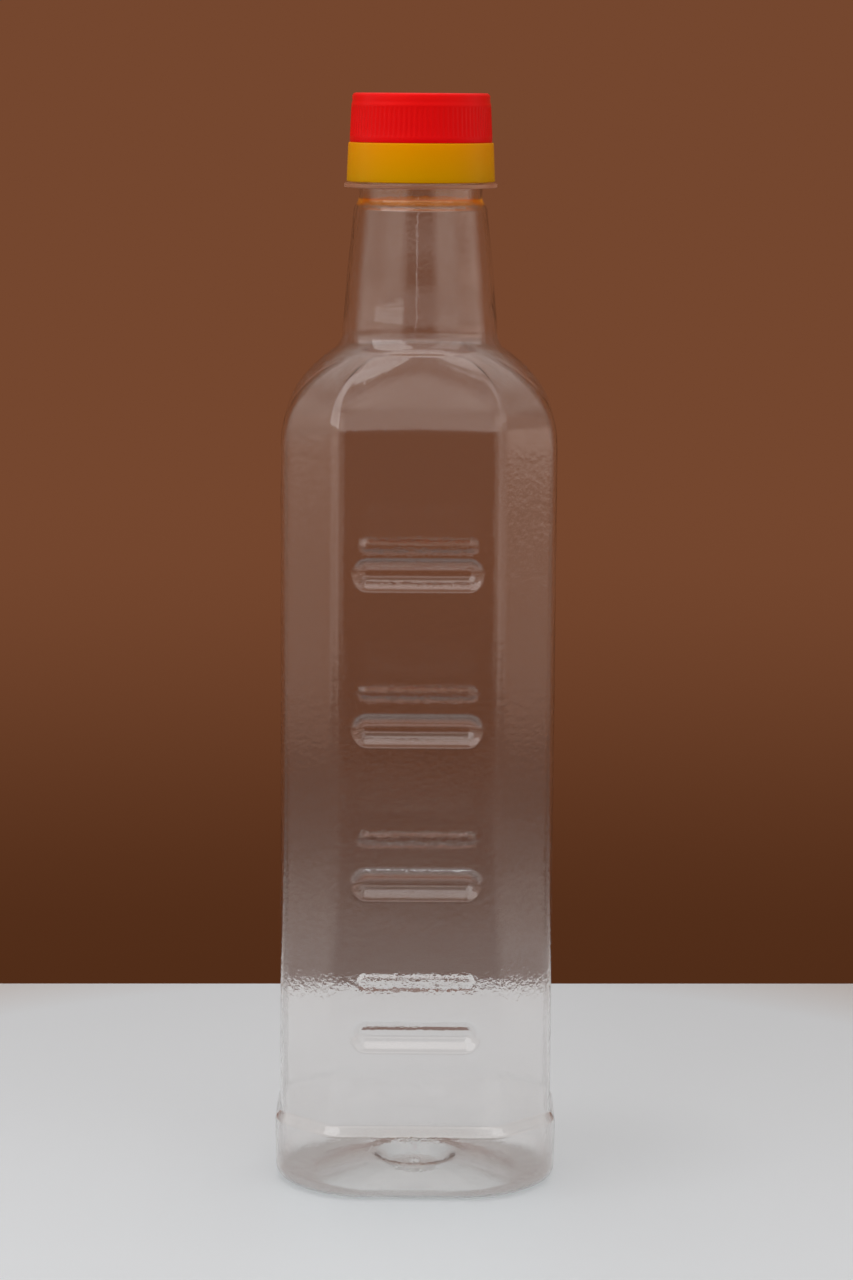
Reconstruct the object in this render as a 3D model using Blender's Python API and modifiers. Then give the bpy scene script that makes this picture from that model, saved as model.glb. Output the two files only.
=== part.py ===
"""Clear plastic oil bottle with a smooth yellow collar and a ribbed red screw lid.

The bottle is a hollow blown shell. Its body is a rectangle with cut corners, the
shoulder draws it in to a round neck, and its mouth is open under the lid. The
front of the bottle faces -Y, it stands on z = 0, and the origin is the centre of
its foot. All lengths are in metres.
"""

import math

import bmesh
import bpy

MM = 0.001
GAP = 0.3 * MM                        # clearance between two pieces that touch

# Body of the bottle
BODY_HALF_WIDTH = 32.0 * MM           # along X
BODY_HALF_DEPTH = 25.3 * MM           # along Y
PANEL_HALF_WIDTH = 19.5 * MM          # flat front or back panel, up to its cut corner
BODY_TOP = 174.0 * MM
CORNER_ROUND = 5.0 * MM

# Base: a slightly wider band round the foot, with a shallow push-up under it
BASE_PROUD = 1.3 * MM
BASE_TOP = 17.6 * MM
BASE_CORNER_ROUND = 9.0 * MM
FOOT_ROUND = 3.5 * MM
PUSH_UP_HEIGHT = 3.0 * MM
PUSH_UP_RADIUS = 15.5 * MM
GATE_HEIGHT = 0.8 * MM
GATE_RADIUS = 3.0 * MM

# Pill-shaped grip grooves across the panels, wide on the front and narrow on the back
GROOVE_COUNT = 4
GROOVE_FIRST_Z = 39.5 * MM
GROOVE_PITCH = 36.15 * MM
GROOVE_FLOOR_HALF_HEIGHT = 0.8 * MM
FRONT_GROOVE_HALF_LENGTH = 15.6 * MM
FRONT_GROOVE_HALF_HEIGHT = 4.2 * MM
FRONT_GROOVE_DEPTH = 2.2 * MM
BACK_GROOVE_HALF_LENGTH = 15.0 * MM
BACK_GROOVE_HALF_HEIGHT = 2.4 * MM
BACK_GROOVE_DEPTH = 1.1 * MM

# Shoulder, neck and mouth
SHOULDER_TOP = 197.3 * MM
NECK_BASE_RADIUS = 20.6 * MM
NECK_FLARE_RADIUS = 18.05 * MM
NECK_FLARE_TOP = 202.6 * MM
NECK_TOP_RADIUS = 15.5 * MM
NECK_TOP = 230.3 * MM
COLLAR_SEAT_RADIUS = 14.35 * MM       # short plain stretch under the support flange
COLLAR_SEAT_BOTTOM = 231.9 * MM
MOUTH_RADIUS = 14.0 * MM
MOUTH_TOP = 253.9 * MM

# Support flange round the neck, just under the collar
FLANGE_RADIUS = 17.7 * MM
FLANGE_BOTTOM = 234.95 * MM
FLANGE_TOP = 235.9 * MM
FLANGE_EDGE_ROUND = 0.2 * MM

# Wall thickness, from the gate to the mouth
WALL_BASE = 1.2 * MM
WALL_FOOT = 0.8 * MM
WALL_BODY = 0.5 * MM
WALL_NECK = 1.5 * MM
WALL_MOUTH = 1.6 * MM

# Collar
COLLAR_BOTTOM = FLANGE_TOP + GAP
COLLAR_TOP = 245.2 * MM
COLLAR_BOTTOM_RADIUS = 17.15 * MM
COLLAR_TOP_RADIUS = 16.8 * MM
COLLAR_BORE_RADIUS = MOUTH_RADIUS + 0.4 * MM
COLLAR_EDGE = 0.25 * MM

# Lid
LID_BOTTOM = COLLAR_TOP + GAP
LID_TOP = 256.5 * MM
LID_BOTTOM_RADIUS = 16.45 * MM
LID_TOP_RADIUS = 15.75 * MM
LID_EDGE_ROUND = 1.1 * MM
LID_BORE_RADIUS = COLLAR_BORE_RADIUS
LID_CEILING = MOUTH_TOP + 0.5 * MM
RIB_COUNT = 84
RIB_DEPTH = 0.3 * MM
RIB_TOP = 254.1 * MM
RIB_BOTTOM = 246.4 * MM
RIB_RUN_OUT = 0.6 * MM

TURNED_STEPS = 64


# ---------------------------------------------------------------- sections

# Half of the front panel is split into these columns, outwards from its middle.
PANEL_COLUMNS = (0.28, 0.78, 1.0)     # shares of the groove's half length
CORNER_MARGIN = 0.2 * MM              # from the last column to a corner's rounding
# Where each column of a quarter section ends up on the round neck, as an angle
# from the front: three panel columns, two rounded corners, two side columns.
ROUND_ANGLES = (5.0, 15.0, 25.0, 30.5, 33.0, 35.5, 42.0, 44.5, 47.0, 61.3, 75.7)
CORNER_TURNS = (0.0, 22.5, 45.0)      # outward direction along a rounded corner
CHAMFER_SHIFT = math.sqrt(2.0) - 1.0  # how a corner slides when the outline grows


def quarter_outline(grow, corner_round):
    """Points from the middle of the front to the middle of the right side."""
    half_width = BODY_HALF_WIDTH + grow
    half_depth = BODY_HALF_DEPTH + grow
    panel = PANEL_HALF_WIDTH + CHAMFER_SHIFT * grow
    side = half_depth - (half_width - panel)
    tangent = corner_round * math.tan(math.radians(22.5))
    reach = min(FRONT_GROOVE_HALF_LENGTH, panel - tangent - CORNER_MARGIN)
    points = [(share * reach, -half_depth) for share in PANEL_COLUMNS]
    centre = (panel - tangent, corner_round - half_depth)
    points += [(centre[0] + corner_round * math.sin(math.radians(turn)),
                centre[1] - corner_round * math.cos(math.radians(turn)))
               for turn in CORNER_TURNS]
    centre = (half_width - corner_round, tangent - side)
    points += [(centre[0] + corner_round * math.sin(math.radians(45.0 + turn)),
                centre[1] - corner_round * math.cos(math.radians(45.0 + turn)))
               for turn in CORNER_TURNS]
    flat = side - tangent
    points += [(half_width, -flat * share) for share in (2.0 / 3.0, 1.0 / 3.0)]
    return points


def groove_depth(x, z, half_length, half_height, full_depth):
    """How far a panel is pressed in at a point; each groove is a flat pill."""
    depth = 0.0
    for index in range(GROOVE_COUNT):
        centre_z = GROOVE_FIRST_Z + index * GROOVE_PITCH
        past_end = max(0.0, abs(x) - (half_length - half_height))
        distance = math.hypot(past_end, z - centre_z)
        slope = (half_height - distance) / (half_height - GROOVE_FLOOR_HALF_HEIGHT)
        depth = max(depth, full_depth * min(1.0, max(0.0, slope)))
    return depth


def panel_press(x, y, z):
    """How far the front or the back panel is pressed in at a point."""
    if y < 0.0:
        return groove_depth(x, z, FRONT_GROOVE_HALF_LENGTH, FRONT_GROOVE_HALF_HEIGHT,
                            FRONT_GROOVE_DEPTH)
    return groove_depth(x, z, BACK_GROOVE_HALF_LENGTH, BACK_GROOVE_HALF_HEIGHT,
                        BACK_GROOVE_DEPTH)


def bottle_ring(z, grow, corner_round, roundness, radius):
    """One level of the bottle, anticlockwise from above: cut-corner body to round neck."""
    quarter = []
    for (x, y), angle in zip(quarter_outline(grow, corner_round), ROUND_ANGLES):
        turn = math.radians(angle)
        round_x, round_y = radius * math.sin(turn), -radius * math.cos(turn)
        quarter.append((x + (round_x - x) * roundness, y + (round_y - y) * roundness))
    side_x = BODY_HALF_WIDTH + grow
    side_x += (radius - side_x) * roundness
    right = quarter + [(side_x, 0.0)] + [(x, -y) for x, y in reversed(quarter)]
    left = [(-x, -y) for x, y in right]
    ring = []
    for x, y in right + left:
        in_panel = roundness == 0.0 and abs(x) < PANEL_HALF_WIDTH
        depth = panel_press(x, y, z) if in_panel else 0.0
        ring.append((x, y - math.copysign(depth, y), z))
    return ring


# ------------------------------------------------------------ mesh helpers

def loft(rings, first_pole=None, last_pole=None):
    """Join rings of equal length by quads, and close an end on its pole."""
    mesh = bmesh.new()
    levels = [[mesh.verts.new(point) for point in ring] for ring in rings]
    count = len(levels[0])
    for lower, upper in zip(levels, levels[1:]):
        for i in range(count):
            j = (i + 1) % count
            mesh.faces.new((lower[i], lower[j], upper[j], upper[i]))
    if first_pole is not None:
        pole = mesh.verts.new(first_pole)
        for i in range(count):
            mesh.faces.new((pole, levels[0][(i + 1) % count], levels[0][i]))
    if last_pole is not None:
        pole = mesh.verts.new(last_pole)
        for i in range(count):
            mesh.faces.new((pole, levels[-1][i], levels[-1][(i + 1) % count]))
    return mesh


def add_object(name, mesh, collection, parent=None):
    data = bpy.data.meshes.new(name)
    mesh.to_mesh(data)
    mesh.free()
    data.shade_smooth()
    data.set_sharp_from_angle(angle=math.radians(30.0))
    piece = bpy.data.objects.new(name, data)
    piece.parent = parent
    collection.objects.link(piece)
    return piece


def turned(name, profile, collection, parent=None):
    """Turn a closed profile, given as (radius, z) down its outer side, round Z."""
    mesh = bmesh.new()
    points = [mesh.verts.new((radius, 0.0, z)) for radius, z in profile]
    for start, end in zip(points, points[1:] + points[:1]):
        mesh.edges.new((start, end))
    piece = add_object(name, mesh, collection, parent)
    screw = piece.modifiers.new("Turn", "SCREW")
    screw.axis = "Z"
    screw.steps = TURNED_STEPS
    screw.render_steps = TURNED_STEPS
    screw.use_merge_vertices = True
    screw.merge_threshold = 0.00001
    screw.use_smooth_shade = True
    return piece


def add_material(piece, colour, roughness, transmission=0.0, ior=1.5):
    material = bpy.data.materials.new(piece.name + "_finish")
    material.use_nodes = True
    shader = material.node_tree.nodes["Principled BSDF"]
    shader.inputs["Base Color"].default_value = (*colour, 1.0)
    shader.inputs["Roughness"].default_value = roughness
    shader.inputs["Metallic"].default_value = 0.0
    shader.inputs["Transmission Weight"].default_value = transmission
    shader.inputs["IOR"].default_value = ior
    piece.data.materials.append(material)


# ------------------------------------------------------------------ bottle

def bottle_levels():
    """Every level of the outer skin from the gate to the mouth.

    A level is (z, growth past the body's outline, corner rounding, roundness,
    round radius, wall thickness).
    """
    levels = [
        (GATE_HEIGHT, 0.0, CORNER_ROUND, 1.0, GATE_RADIUS, WALL_BASE),
        ((GATE_HEIGHT + PUSH_UP_HEIGHT) / 2.0, 0.0, CORNER_ROUND, 1.0,
         (GATE_RADIUS + PUSH_UP_RADIUS) / 2.0, WALL_BASE),
        (PUSH_UP_HEIGHT, 0.0, CORNER_ROUND, 1.0, PUSH_UP_RADIUS, WALL_BASE),
        (PUSH_UP_HEIGHT - 0.4 * MM, 0.0, CORNER_ROUND, 1.0,
         PUSH_UP_RADIUS + 2.5 * MM, WALL_FOOT),
        (0.0, -6.5 * MM, BASE_CORNER_ROUND, 0.5, PUSH_UP_RADIUS + 5.5 * MM, WALL_FOOT),
    ]
    for degrees in (0.0, 45.0, 90.0):
        turn = math.radians(degrees)
        levels.append((FOOT_ROUND * (1.0 - math.cos(turn)),
                       BASE_PROUD - FOOT_ROUND * (1.0 - math.sin(turn)),
                       BASE_CORNER_ROUND, 0.0, 0.0, WALL_FOOT))
    levels += [
        (BASE_TOP - 2.2 * MM, BASE_PROUD, BASE_CORNER_ROUND, 0.0, 0.0, WALL_BODY),
        (BASE_TOP - 1.3 * MM, BASE_PROUD - 0.4 * MM, BASE_CORNER_ROUND, 0.0, 0.0, WALL_BODY),
        (BASE_TOP, 0.0, CORNER_ROUND, 0.0, 0.0, WALL_BODY),
    ]
    for index in range(GROOVE_COUNT):
        centre_z = GROOVE_FIRST_Z + index * GROOVE_PITCH
        for rise in (-FRONT_GROOVE_HALF_HEIGHT, -BACK_GROOVE_HALF_HEIGHT,
                     -GROOVE_FLOOR_HALF_HEIGHT, GROOVE_FLOOR_HALF_HEIGHT,
                     BACK_GROOVE_HALF_HEIGHT, FRONT_GROOVE_HALF_HEIGHT):
            levels.append((centre_z + rise, 0.0, CORNER_ROUND, 0.0, 0.0, WALL_BODY))
    levels.append((BODY_TOP, 0.0, CORNER_ROUND, 0.0, 0.0, WALL_BODY))
    # The shoulder's outline starts upright and leans in more and more to the neck.
    shoulder_levels = 9
    for index in range(1, shoulder_levels + 1):
        share = 1.0 - (1.0 - index / shoulder_levels) ** 1.45
        z = BODY_TOP + (SHOULDER_TOP - BODY_TOP) * share
        roundness = share ** 2.8
        levels.append((z, 0.0, CORNER_ROUND, roundness, NECK_BASE_RADIUS, WALL_BODY))
    for z, radius, wall in (
            (SHOULDER_TOP + 0.9 * MM, NECK_BASE_RADIUS - 0.6 * MM, WALL_NECK),
            (SHOULDER_TOP + 2.3 * MM, NECK_BASE_RADIUS - 1.6 * MM, WALL_NECK),
            (NECK_FLARE_TOP, NECK_FLARE_RADIUS, WALL_NECK),
            (NECK_FLARE_TOP + 12.3 * MM, NECK_FLARE_RADIUS - 0.95 * MM, WALL_NECK),
            (NECK_TOP, NECK_TOP_RADIUS, WALL_MOUTH),
            (COLLAR_SEAT_BOTTOM, COLLAR_SEAT_RADIUS, WALL_MOUTH),
            (FLANGE_BOTTOM, COLLAR_SEAT_RADIUS, WALL_MOUTH),
            (FLANGE_TOP, MOUTH_RADIUS, WALL_MOUTH),
            (MOUTH_TOP, MOUTH_RADIUS, WALL_MOUTH)):
        levels.append((z, 0.0, CORNER_ROUND, 1.0, radius, wall))
    return levels


def make_bottle(collection, guides, parent):
    levels = bottle_levels()
    rings = [bottle_ring(*level[:5]) for level in levels]
    bottle = add_object("bottle", loft(rings, first_pole=(0.0, 0.0, GATE_HEIGHT)),
                        collection, parent)
    walls = bottle.vertex_groups.new(name="wall")
    ring_size = len(rings[0])
    for index, level in enumerate(levels):
        members = list(range(index * ring_size, (index + 1) * ring_size))
        walls.add(members, level[5] / WALL_MOUTH, "REPLACE")
    walls.add([len(levels) * ring_size], WALL_BASE / WALL_MOUTH, "REPLACE")
    shell = bottle.modifiers.new("Wall", "SOLIDIFY")
    shell.thickness = WALL_MOUTH
    shell.offset = -1.0
    shell.vertex_group = walls.name

    rim = FLANGE_RADIUS - FLANGE_EDGE_ROUND
    root = COLLAR_SEAT_RADIUS - WALL_MOUTH / 2.0
    flange = turned("flange_form", [
        (root, FLANGE_TOP), (rim, FLANGE_TOP),
        (FLANGE_RADIUS, FLANGE_TOP - FLANGE_EDGE_ROUND),
        (FLANGE_RADIUS, FLANGE_BOTTOM + FLANGE_EDGE_ROUND),
        (rim, FLANGE_BOTTOM), (root, FLANGE_BOTTOM)], guides)
    flange.hide_render = True
    flange.display_type = "WIRE"
    union = bottle.modifiers.new("Flange", "BOOLEAN")
    union.operation = "UNION"
    union.object = flange
    add_material(bottle, (0.93, 0.90, 0.89), 0.05, transmission=1.0, ior=1.57)


# ------------------------------------------------------------------ collar

def make_collar(collection, parent):
    collar = turned("collar", [
        (COLLAR_BORE_RADIUS, COLLAR_TOP),
        (COLLAR_TOP_RADIUS - COLLAR_EDGE, COLLAR_TOP),
        (COLLAR_TOP_RADIUS, COLLAR_TOP - COLLAR_EDGE),
        (COLLAR_BOTTOM_RADIUS, COLLAR_BOTTOM + COLLAR_EDGE),
        (COLLAR_BOTTOM_RADIUS - COLLAR_EDGE, COLLAR_BOTTOM),
        (COLLAR_BORE_RADIUS, COLLAR_BOTTOM)], collection, parent)
    add_material(collar, (0.60, 0.25, 0.002), 0.35)


# --------------------------------------------------------------------- lid

def lid_ring(z, radius, cut=0.0):
    """One level of the lid; every other point is pressed in between two ribs."""
    count = 2 * RIB_COUNT
    ring = []
    for i in range(count):
        turn = 2.0 * math.pi * i / count
        reach = radius - cut * (i % 2)
        ring.append((reach * math.cos(turn), reach * math.sin(turn), z))
    return ring


def make_lid(collection, parent):
    edge = LID_EDGE_ROUND
    skirt = LID_BOTTOM_RADIUS - LID_TOP_RADIUS
    below_edge = LID_TOP - edge
    rib_top_radius = LID_TOP_RADIUS + 0.55 * skirt
    levels = [
        lid_ring(LID_CEILING, LID_BORE_RADIUS),
        lid_ring(LID_BOTTOM, LID_BORE_RADIUS),
        lid_ring(LID_BOTTOM, LID_BOTTOM_RADIUS),
        lid_ring(RIB_BOTTOM, LID_BOTTOM_RADIUS),
        lid_ring(RIB_BOTTOM + RIB_RUN_OUT, LID_BOTTOM_RADIUS, RIB_DEPTH),
        lid_ring(RIB_TOP - RIB_RUN_OUT, rib_top_radius + 0.1 * MM, RIB_DEPTH),
        lid_ring(RIB_TOP, rib_top_radius),
        lid_ring(below_edge, LID_TOP_RADIUS),
        lid_ring(LID_TOP - 0.3 * edge, LID_TOP_RADIUS - 0.3 * edge),
        lid_ring(LID_TOP, LID_TOP_RADIUS - edge),
    ]
    mesh = loft(levels, first_pole=(0.0, 0.0, LID_CEILING), last_pole=(0.0, 0.0, LID_TOP))
    lid = add_object("lid", mesh, collection, parent)
    add_material(lid, (0.75, 0.005, 0.007), 0.35)


# ------------------------------------------------------------------- build

def build():
    for old in list(bpy.data.objects):
        bpy.data.objects.remove(old, do_unlink=True)
    collection = bpy.data.collections.new("oil_bottle")
    guides = bpy.data.collections.new("guides")
    for group in (collection, guides):
        bpy.context.scene.collection.children.link(group)
    origin = bpy.data.objects.new("oil_bottle_origin", None)
    collection.objects.link(origin)
    make_bottle(collection, guides, origin)
    make_collar(collection, origin)
    make_lid(collection, origin)


build()
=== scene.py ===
"""Looks of a clear plastic oil bottle with a smooth yellow collar and a ribbed red screw lid.

The bottle stands empty on a pale table in front of a brown backdrop. All lengths
are in metres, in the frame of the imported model: the front faces -Y and z = 0 is the
surface that the bottle stands on.
"""

import math

import bmesh
import bpy
from mathutils import Matrix, Vector


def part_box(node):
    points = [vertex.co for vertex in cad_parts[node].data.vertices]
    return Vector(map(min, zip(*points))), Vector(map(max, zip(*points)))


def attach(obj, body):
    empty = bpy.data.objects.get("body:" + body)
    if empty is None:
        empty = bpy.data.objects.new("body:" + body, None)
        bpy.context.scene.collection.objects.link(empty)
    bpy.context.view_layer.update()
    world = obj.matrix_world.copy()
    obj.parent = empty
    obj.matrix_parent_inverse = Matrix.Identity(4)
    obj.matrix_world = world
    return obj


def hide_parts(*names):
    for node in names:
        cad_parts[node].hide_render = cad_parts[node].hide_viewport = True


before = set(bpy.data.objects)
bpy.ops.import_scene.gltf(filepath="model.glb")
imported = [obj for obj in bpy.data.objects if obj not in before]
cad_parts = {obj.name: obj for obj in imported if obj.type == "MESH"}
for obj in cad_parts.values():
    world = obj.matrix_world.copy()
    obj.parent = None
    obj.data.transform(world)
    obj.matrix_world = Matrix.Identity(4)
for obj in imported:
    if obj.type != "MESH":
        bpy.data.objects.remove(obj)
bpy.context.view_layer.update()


# ---------------------------------------------------------------------------
# Bottle
# A blow-moulded shell of clear plastic, about half a millimetre thick in the body
# and thicker in the neck. Its body is a rectangle with cut corners, pressed in by
# grip grooves on the front and the back, and it stands on a wider rounded foot.

MM = 0.001

bottle_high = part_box("bottle")[1]

BASE_PROUD = 1.3 * MM                 # how far the foot band stands out from the body
BODY_HALF_WIDTH = bottle_high.x - BASE_PROUD
BODY_HALF_DEPTH = bottle_high.y - BASE_PROUD
PANEL_HALF_WIDTH = 19.5 * MM          # flat front or back panel, up to its cut corner
FRONT_CORNER = 6.0 * MM               # rounding between a panel and a cut corner
SIDE_CORNER = 6.5 * MM                # rounding between a cut corner and a side
LEDGE_CORNER = 9.0 * MM
FOOT_CORNER = 18.8 * MM               # the foot band is rounder the lower it gets

FOOT_ROUND = 3.5 * MM
LEDGE_BOTTOM = 15.0 * MM              # the foot band draws in to the body between these
LEDGE_TOP = 18.2 * MM
PUSH_UP_HEIGHT = 3.8 * MM             # raised middle of the base
PUSH_UP_RADIUS = 10.2 * MM
GATE_HEIGHT = 1.2 * MM                # sunk disc in the raised middle
GATE_RADIUS = 6.2 * MM
GATE_RIM = 0.4 * MM
GATE_RIM_WIDTH = 0.8 * MM
GATE_NUB = 0.5 * MM                   # injection point in the middle of the disc
GATE_NUB_RADIUS = 1.5 * MM
STANDING_EDGE_GROW = -6.5 * MM        # inner edge of the ring that stands on the table
STANDING_EDGE_RADIUS = 21.0 * MM
STANDING_EDGE_CORNER = 10.0 * MM
STANDING_EDGE_ROUNDNESS = 0.25

GROOVE_COUNT = 4
GROOVE_FIRST_Z = 39.5 * MM
GROOVE_PITCH = 36.15 * MM
# half length, reach up, reach down, half height of the floor and depth of the grooves
FRONT_GROOVE = (15.4 * MM, 3.9 * MM, 4.4 * MM, 0.5 * MM, 2.4 * MM)
BACK_GROOVE = (14.7 * MM, 2.0 * MM, 2.0 * MM, 0.5 * MM, 1.0 * MM)
# extra wall in the floor of the back grooves, as a share of their depth
BACK_GROOVE_THICKENING = 0.012
LOWEST_BACK_GROOVE_THICKENING = 0.12

BODY_TOP = 174.0 * MM
SHOULDER_TOP = 197.3 * MM
SHOULDER_RADIUS = 20.6 * MM
NECK_FLARE_TOP = 202.6 * MM
NECK_FLARE_RADIUS = 18.05 * MM
CREASE_DEPTH = 0.35 * MM              # fine step round the root of the neck
CREASE_HEIGHT = 0.5 * MM
# heights and radii, in millimetres, up the cone of the neck and up the mouth
NECK_ROOT = ((204.0, 17.95), (205.0, 17.84))
NECK_CONE = ((208.0, 17.55), (214.9, 17.1), (222.0, 16.32), (228.4, 15.66), (229.3, 15.58))
MOUTH = ((234.4, 14.35), (234.95, 14.35), (235.9, 14.35), (236.3, 14.0), (245.0, 14.0))
STEP_BOTTOM = 229.7 * MM              # soft step from the neck in to the flange's seat
STEP_TOP = 232.4 * MM
STEP_RADIUS = 15.55 * MM
SEAT_RADIUS = 14.35 * MM
FLANGE_BOTTOM = 234.95 * MM
FLANGE_TOP = 235.9 * MM
FLANGE_RADIUS = 17.7 * MM
FLANGE_EDGE = 0.12 * MM
MOUTH_RADIUS = 14.0 * MM
MOUTH_TOP = bottle_high.z

WALL_BASE = 0.7 * MM
WALL_FOOT = 0.35 * MM
WALL_BODY = 0.42 * MM
WALL_NECK_ROOT = 0.5 * MM
WALL_NECK = 0.95 * MM
WALL_BASE_RADIUS = 20.0 * MM          # the base thins from its middle out to here

# Angle from the front at which each stretch of a quarter section ends on the round
# neck: panel, front corner, cut corner, side corner, side.
ROUND_ANGLES = (0.0, 26.0, 31.0, 44.0, 51.0, 90.0)
GROOVE_END_PLACE = 0.64               # share of the half panel at which groove ends start


def smooth(share):
    share = min(1.0, max(0.0, share))
    return share * share * (3.0 - 2.0 * share)


def mix(low, high, share):
    return low + (high - low) * share


def section_point(place, grow, front_corner, side_corner):
    """A point between the middle of the front (place 0) and of the right side (place 5)."""
    half_width = BODY_HALF_WIDTH + grow
    half_depth = BODY_HALF_DEPTH + grow
    panel = PANEL_HALF_WIDTH + (math.sqrt(2.0) - 1.0) * grow
    side = half_depth - (half_width - panel)
    front_tangent = front_corner * math.tan(math.radians(22.5))
    side_tangent = side_corner * math.tan(math.radians(22.5))
    stretch = min(4, int(place))
    share = place - stretch
    if stretch == 0:
        return share * (panel - front_tangent), -half_depth
    if stretch == 1:
        turn = math.radians(45.0 * share)
        return (panel - front_tangent + front_corner * math.sin(turn),
                front_corner * (1.0 - math.cos(turn)) - half_depth)
    if stretch == 2:
        # the cut corner starts where the front corner ends, a hair short of place 2
        start = section_point(1.99999, grow, front_corner, side_corner)
        end = section_point(3.0, grow, front_corner, side_corner)
        return mix(start[0], end[0], share), mix(start[1], end[1], share)
    if stretch == 3:
        turn = math.radians(45.0 + 45.0 * share)
        return (half_width - side_corner * (1.0 - math.sin(turn)),
                side_tangent - side - side_corner * math.cos(turn))
    return half_width, (side_tangent - side) * (1.0 - share)


def groove_press(x, z, size):
    """How deep a panel is pressed in by its row of pill-shaped grooves."""
    half_length, reach_up, reach_down, half_floor, depth = size
    nearest = min(GROOVE_COUNT - 1, max(0, round((z - GROOVE_FIRST_Z) / GROOVE_PITCH)))
    off_centre = z - GROOVE_FIRST_Z - nearest * GROOVE_PITCH
    reach = reach_up if off_centre > 0.0 else reach_down
    past_end = max(0.0, abs(x) - (half_length - reach_up))
    away = math.hypot(past_end / reach_up, off_centre / reach) * reach
    share = min(1.0, max(0.0, (reach - away) / (reach - half_floor)))
    return depth * (0.5 - 0.5 * math.cos(math.pi * share))


def groove_thickening(place):
    """Extra wall in the floor of a back groove, where the blown plastic is stretched less."""
    on_panel = LEDGE_TOP <= place.z <= BODY_TOP and abs(place.x) <= PANEL_HALF_WIDTH
    if not on_panel or place.y < 0.0:
        return 0.0
    share = BACK_GROOVE_THICKENING
    if place.z < GROOVE_FIRST_Z + 0.5 * GROOVE_PITCH:
        share = LOWEST_BACK_GROOVE_THICKENING
    return share * groove_press(place.x, place.z, BACK_GROOVE)


def quarter_places():
    """Where the columns of a quarter section stand, close together at the groove ends."""
    places = [GROOVE_END_PLACE * i / 6 for i in range(6)]
    places += [mix(GROOVE_END_PLACE, 1.0, i / 12) for i in range(12)]
    for stretch, columns in ((1, 7), (2, 6), (3, 6), (4, 7)):
        places += [stretch + i / columns for i in range(columns)]
    return places


def round_angle(place):
    stretch = min(4, int(place))
    return math.radians(mix(ROUND_ANGLES[stretch], ROUND_ANGLES[stretch + 1], place - stretch))


def towards_corner(place):
    """How far a place has gone from the front panel (0) to the middle of the cut corner (1)."""
    return smooth((place - 0.9) / 1.6)


def shoulder_roundness(z, place):
    """Share of the way to the round neck: a panel starts to lean in later than a side."""
    rise = (z - BODY_TOP) / (SHOULDER_TOP - BODY_TOP)
    lean = max(0.0, (rise - 0.27) / 0.73)
    # the panel bends in quickly, goes up nearly straight and closes in at the very top
    front = 0.78 * 1.06 * lean * lean / (lean + 0.06) + 0.22 * lean ** 5
    side = rise ** 2.8
    return mix(front, side, towards_corner(place))


# A station is one level of the outer skin: its height, how far the body's outline has
# grown, the rounding of its corners, how round it is (0 body, 1 neck), the round radius
# and the wall.
def station(z, grow=0.0, corner=None, roundness=0.0, radius=SHOULDER_RADIUS, wall=WALL_BODY):
    return z, grow, corner, roundness, radius, wall


def base_stations():
    stations = []
    for i in range(16):                                   # gate disc and push-up
        radius = mix(0.0, PUSH_UP_RADIUS, i / 16)
        rise = smooth((radius - GATE_RADIUS) / (PUSH_UP_RADIUS - GATE_RADIUS))
        rim = GATE_RIM * smooth((radius - GATE_RADIUS) / GATE_RIM_WIDTH)
        nub = GATE_NUB * smooth((GATE_NUB_RADIUS - radius) / (0.8 * GATE_NUB_RADIUS))
        z = mix(GATE_HEIGHT, PUSH_UP_HEIGHT - GATE_RIM, rise) + rim - nub
        stations.append(station(z, roundness=1.0, radius=radius, wall=WALL_BASE))
    for i in range(16):                                   # down to the standing edge
        share = i / 16
        stations.append(station(PUSH_UP_HEIGHT * (1.0 - share ** 1.2) ** 1.3,
                                grow=STANDING_EDGE_GROW, corner=STANDING_EDGE_CORNER,
                                roundness=mix(1.0, STANDING_EDGE_ROUNDNESS, share),
                                radius=mix(PUSH_UP_RADIUS, STANDING_EDGE_RADIUS, share)))
    flat = BASE_PROUD - FOOT_ROUND
    for i in range(4):                                    # ring that stands on the table
        share = i / 4
        stations.append(station(0.0, grow=mix(STANDING_EDGE_GROW, flat, share),
                                corner=mix(STANDING_EDGE_CORNER, FOOT_CORNER, share),
                                roundness=mix(STANDING_EDGE_ROUNDNESS, 0.0, share),
                                radius=STANDING_EDGE_RADIUS))
    for i in range(13):                                   # rounded foot
        turn = math.radians(90.0 * i / 12)
        stations.append(station(FOOT_ROUND * (1.0 - math.cos(turn)),
                                grow=flat + FOOT_ROUND * math.sin(turn), corner=FOOT_CORNER,
                                wall=mix(WALL_FOOT, WALL_BODY, i / 12)))
    for i in range(1, 8):                                 # foot band
        share = i / 7
        stations.append(station(mix(FOOT_ROUND, LEDGE_BOTTOM, share), grow=BASE_PROUD,
                                corner=mix(FOOT_CORNER, LEDGE_CORNER, share)))
    for i in range(1, 13):                                # soft ledge under the body
        share = i / 12
        stations.append(station(mix(LEDGE_BOTTOM, LEDGE_TOP, share),
                                grow=BASE_PROUD * (1.0 - smooth(share)),
                                corner=mix(LEDGE_CORNER, SIDE_CORNER, share)))
    return stations


def body_heights():
    """Levels up the body: close together across each groove, wide apart between them."""
    heights = []
    reach = FRONT_GROOVE[2] + 0.2 * MM
    last = LEDGE_TOP
    for index in range(GROOVE_COUNT):
        centre_z = GROOVE_FIRST_Z + index * GROOVE_PITCH
        heights += [mix(last, centre_z - reach, i / 5) for i in range(1, 5)]
        heights += [centre_z + reach * i / 13 for i in range(-13, 14)]
        last = centre_z + reach
    heights += [mix(last, BODY_TOP, i / 6) for i in range(1, 7)]
    return heights


def round_stations(outline, wall):
    return [station(z * MM, roundness=1.0, radius=radius * MM, wall=wall)
            for z, radius in outline]


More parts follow.
